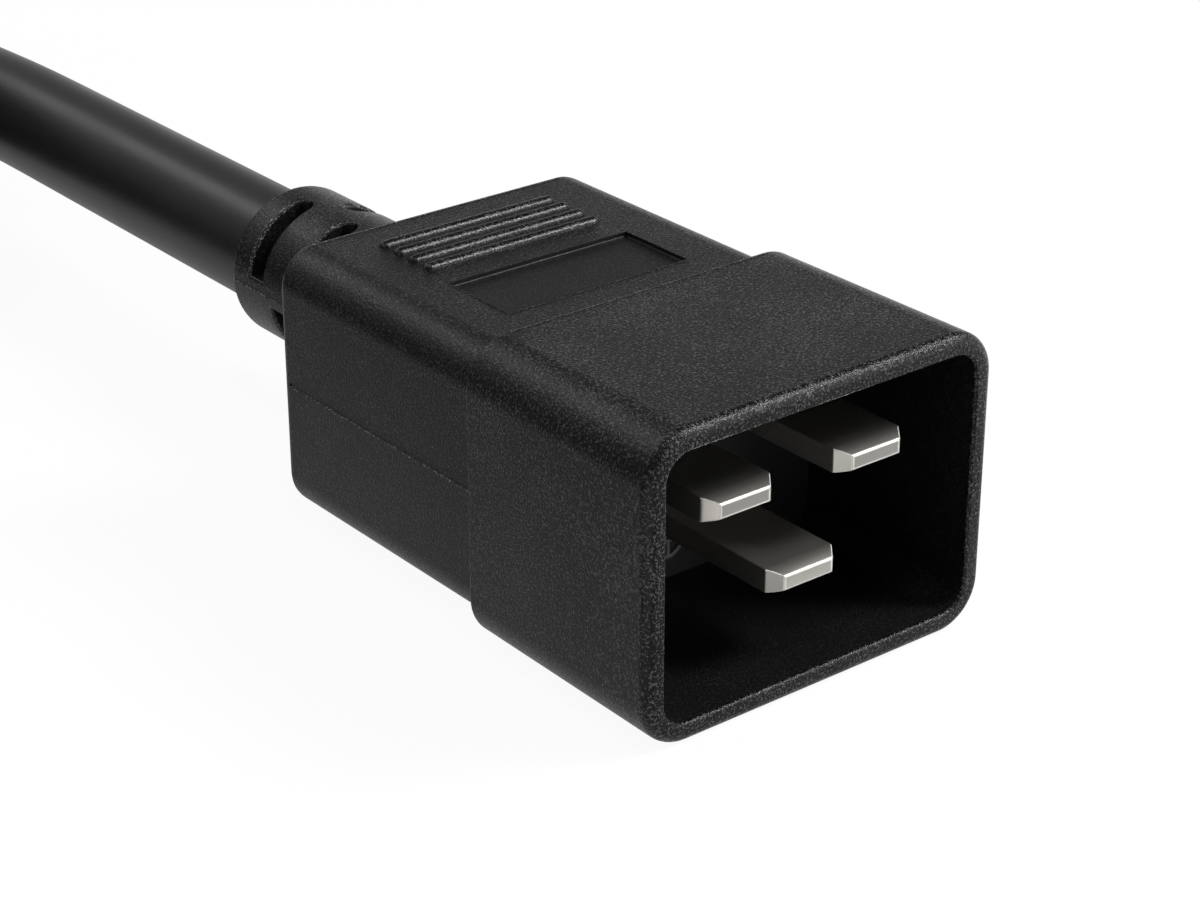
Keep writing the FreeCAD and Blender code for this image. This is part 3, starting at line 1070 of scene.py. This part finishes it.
# Ties: a nylon strap round the coil with its locking head on top
tieSettings = {
    "radius": 61.0,
    "bundleHalf": 10.9,
    "bundleBottom": 1.2,
    "bundleCorner": 5.45,
    "cornerSteps": 10,
    "thickness": 1.2,
    "width": 4.8,
    "edge": 0.25,
    "edgeSteps": 2,
    "sharpAngle": 60,
    "head": (5.5, 6.0, 4.0),
    "headRound": 0.7,
    "headSteps": 4,
    "gate": (5.0, 1.6),
    "tailLength": 4.0,
    "tailEdge": 0.15,
    "angles": (70.0, 250.0),
    "smoothAngle": 40,
}


def tieStrap(x, y, z):
    s = tieSettings
    reach, half = s["bundleHalf"] + s["thickness"], s["width"] / 2
    strap = addBox("tie", (x - reach, y - half, z - reach), (x + reach, y + half, z + reach))
    openEdit(strap)
    pick("EDGE", lengthways)
    roundEdges(s["bundleCorner"] + s["thickness"], s["cornerSteps"])
    pick("FACE", lambda points: level(points, 1, points[0].y))
    bpy.ops.mesh.inset(thickness=s["thickness"] * mm, depth=0)
    bpy.ops.mesh.bridge_edge_loops()
    faceOutwards()
    pickSharp(s["sharpAngle"])
    roundEdges(s["edge"], s["edgeSteps"])
    closeEdit()
    return strap


def tieHead(x, y, bottom):
    s = tieSettings
    long, wide, tall = s["head"]
    gateWide, gateTall = s["gate"]
    head = addBox("head", (x - long / 2, y - wide / 2, bottom), (x + long / 2, y + wide / 2, bottom + tall))
    openEdit(head)
    pick("EDGE", lambda points: not level(points, 2, bottom))
    roundEdges(s["headRound"], s["headSteps"])
    closeEdit()
    low, high = bottom + tall / 2 - gateTall / 2, bottom + tall / 2 + gateTall / 2
    gate = addBox("gate", (x - long, y - gateWide / 2, low), (x + long, y + gateWide / 2, high))
    combine(head, gate, "DIFFERENCE")
    return head


def tieTail(x, y, z):  # the cut end that runs through the head's gate
    s = tieSettings
    half, thick, reach = s["width"] / 2, s["thickness"] / 2, s["head"][0] / 2
    low = (x - reach - s["tailLength"] / 2, y - half, z - thick)
    tail = addBox("tail", low, (x + reach + s["tailLength"], y + half, z + thick))
    openEdit(tail)
    pick("EDGE", lambda points: True)
    roundEdges(s["tailEdge"], s["edgeSteps"])
    closeEdit()
    return tail


def cordTie(angle):
    s = tieSettings
    middle = cordSettings["coilMiddle"]
    x, y = middle[0] + s["radius"], middle[1]
    z = s["bundleBottom"] + s["bundleHalf"]
    top = z + s["bundleHalf"]
    tie = tieStrap(x, y, z)
    combine(tie, tieHead(x, y, top), "UNION")
    selectOnly(tie, tieTail(x, y, top + s["head"][2] / 2))
    bpy.ops.object.join()
    centre = [c * mm for c in middle] + [0]
    bpy.ops.transform.rotate(value=-math.radians(angle), orient_axis="Z", center_override=centre)
    return settle("cord_tie_" + str(int(angle)))


def tieCoil():
    ties = [cordTie(angle) for angle in tieSettings["angles"]]
    selectOnly(*ties)
    bpy.ops.object.join()
    band = settle("cord_ties_nylon")
    smoothPiece(band, tieSettings["smoothAngle"])
    dress(band, [tieNylon], "tie_nylon", "cord_ties")
    return band


ties = tieCoil()


# CAD pieces that keep their shape
kept = {
    "contact_bridge": insertPlastic,
    "line_core": brownCore,
    "neutral_core": blueCore,
    "earth_core": greenCore,
}
for name in pinSettings["places"]:
    kept[name + "_conductor"] = copper
    kept[name + "_contact"] = brass
for name, material in kept.items():
    nodes[name].material_slots[0].material = material
print("finishes given to", len(kept), "kept nodes")


# Studio: pale floor, soft world, softboxes
studioSettings = {
    "floorSize": 4.0,  # metres
    "floorDrop": 0.02,  # keeps the floor clear of the faces that rest on it
    "paper": 0.9,  # share of the light that the floor gives back
    "floorSeen": 1.02,  # white to the camera
    "floorWhite": 0.92,  # share of the floor that is plain white to the camera, the rest takes the shadow
    "floorMirrored": 0.95,  # the same share in reflections
    "floorGlow": (0.55, 0.1),  # brightness in reflections, beside the plug and at the glow's end
    "glowMiddle": (0, 35),
    "glowHalf": (17, 70),  # half width and half length of the patch beside the plug
    "glowReach": 60,  # from there to the glow's end
    "floorCards": [
        # brighter and darker sheets on the floor: low corner, high corner, brightness in reflections
        ((-300, -300), (300, -36), 0.3),  # in front of the mouth
        ((-300, -300), (-22, -40), 0.85),  # off its left corner
        ((-6, -46), (45, -38.5), 1.5),  # right under the pins' tips
        ((45, -300), (2000, 2000), 0.95),  # far right
    ],
    "cardEdge": 4.0,
    "worldLight": 0.16,
    "worldMirrored": (0.26, 0.06, 0.9),  # left of the room, right of it, and right of it at the horizon
    "worldRise": 0.45,  # how steep a look has to be to leave the horizon's glow
    "worldSides": (0.2, 0.65),  # how far to the right the left of the room ends and the right begins
    "boxes": [
        # name, direction from the plug, distance, width and height in metres, watts
        ("key_box", (0.56, -0.41, 0.68), 0.62, (0.16, 0.16), 2.7),
        ("back_box", (-0.36, 0.60, 0.715), 0.60, (0.50, 0.20), 0.55),
        ("rear_box", (-0.06, 0.83, 0.55), 0.60, (0.14, 0.10), 0.11),
        ("fill_box", (0.55, -0.80, 0.22), 0.60, (0.30, 0.30), 0.65),
        ("top_box", (-0.11, -0.31, 0.94), 0.60, (0.10, 0.10), 0.45),
    ],
    "aim": (0.0, 0.0, 12.0),
}


def seenShare(tree, direct, mirrored, other):  # values for camera rays, reflections and light
    path = addNode(tree, "LightPath", {}).node.outputs
    rays = {0: path["Is Glossy Ray"], 1: path["Is Transmission Ray"]}
    mirror = addNode(tree, "Math", rays, operation="MAXIMUM")
    value = addNode(tree, "MapRange", {"Value": mirror, "To Min": other, "To Max": mirrored})
    return addNode(tree, "MapRange", {"Value": path["Is Camera Ray"], "To Min": value, "To Max": direct})


def cardMask(tree, place, low, high, edge):  # 1 on the sheet, 0 off it
    axes = addNode(tree, "SeparateXYZ", {0: place}).node.outputs
    mask = 1.0
    for axis, a, b in (("X", low[0], high[0]), ("Y", low[1], high[1])):
        off = addNode(tree, "Math", {0: axes[axis], 1: (a + b) / 2 * mm}, operation="SUBTRACT")
        off = addNode(tree, "Math", {0: off}, operation="ABSOLUTE")
        half = (b - a) / 2
        mask = addNode(
            tree,
            "MapRange",
            {"Value": off, "From Min": half * mm, "From Max": (half - edge) * mm, "To Max": mask},
        )
    return mask


def floorGlow(tree):  # what the plug's gloss shows of the floor
    s = studioSettings
    place = addNode(tree, "TexCoord", {}, out="Object")
    middle, half = [[c * mm for c in s[key]] + [0] for key in ("glowMiddle", "glowHalf")]
    away = addNode(tree, "VectorMath", {0: place, 1: middle}, operation="SUBTRACT")
    away = addNode(tree, "VectorMath", {0: away}, operation="ABSOLUTE")
    away = addNode(tree, "VectorMath", {0: away, 1: half}, operation="SUBTRACT")
    away = addNode(tree, "VectorMath", {0: away, 1: (0, 0, 0)}, operation="MAXIMUM")
    away = addNode(tree, "VectorMath", {0: away}, out="Value", operation="LENGTH")
    beside, far = s["floorGlow"]
    glow = addNode(
        tree,
        "MapRange",
        {"Value": away, "From Max": s["glowReach"] * mm, "To Min": beside, "To Max": far},
    )
    for low, high, brightness in s["floorCards"]:
        mask = cardMask(tree, place, low, high, s["cardEdge"])
        glow = addNode(tree, "MapRange", {"Value": mask, "To Min": glow, "To Max": brightness})
    return glow


def paperFloor():
    s = studioSettings
    bpy.ops.object.select_all(action="DESELECT")
    bpy.ops.mesh.primitive_plane_add(size=s["floorSize"], location=(0, 0, -s["floorDrop"] * mm))
    floor = bpy.context.object
    floor.name = "studio_floor"
    material = bpy.data.materials.new("white_paper_floor")
    material.use_nodes = True
    tree = material.node_tree
    tree.nodes.clear()
    paper = addNode(tree, "BsdfDiffuse", {"Color": [s["paper"]] * 3 + [1]})
    bright = seenShare(tree, s["floorSeen"], floorGlow(tree), 1.0)
    white = addNode(tree, "Emission", {"Color": colour("#ffffff"), "Strength": bright})
    share = seenShare(tree, s["floorWhite"], s["floorMirrored"], 0.0)
    mixed = addNode(tree, "MixShader", {0: share, 1: paper, 2: white})
    addNode(tree, "OutputMaterial", {"Surface": mixed})
    floor.data.materials.append(material)


def softWorld():
    s = studioSettings
    world = bpy.data.worlds.new("soft_studio")
    bpy.context.scene.world = world
    world.use_nodes = True
    tree = world.node_tree
    tree.nodes.clear()
    ahead = addNode(tree, "TexCoord", {}, out="Generated")
    ahead = addNode(tree, "SeparateXYZ", {0: ahead}).node.outputs
    left, right, horizon = s["worldMirrored"]
    start, end = s["worldSides"]
    bright = addNode(
        tree,
        "MapRange",
        {"Value": ahead["Z"], "From Max": s["worldRise"], "To Min": horizon, "To Max": right},
    )
    room = addNode(
        tree,
        "MapRange",
        {"Value": ahead["X"], "From Min": start, "From Max": end, "To Min": left, "To Max": bright},
    )
    strength = seenShare(tree, 1.0, room, s["worldLight"])
    sky = addNode(tree, "Background", {"Color": colour("#ffffff"), "Strength": strength})
    addNode(tree, "OutputWorld", {"Surface": sky})


def softBoxes():
    s = studioSettings
    for name, ahead, distance, size, watts in s["boxes"]:
        place = [a * mm + d * distance for a, d in zip(s["aim"], ahead)]
        bpy.ops.object.light_add(type="AREA", location=place)
        lamp = bpy.context.object
        lamp.name = name
        lamp.data.shape = "RECTANGLE"
        lamp.data.size, lamp.data.size_y = size
        lamp.data.energy = watts
        flat = math.hypot(ahead[0], ahead[1])
        lamp.rotation_euler = (math.atan2(flat, ahead[2]), 0, math.atan2(ahead[0], -ahead[1]))


paperFloor()
softWorld()
softBoxes()
bpy.context.scene.view_settings.view_transform = "Standard"
print("studio set")
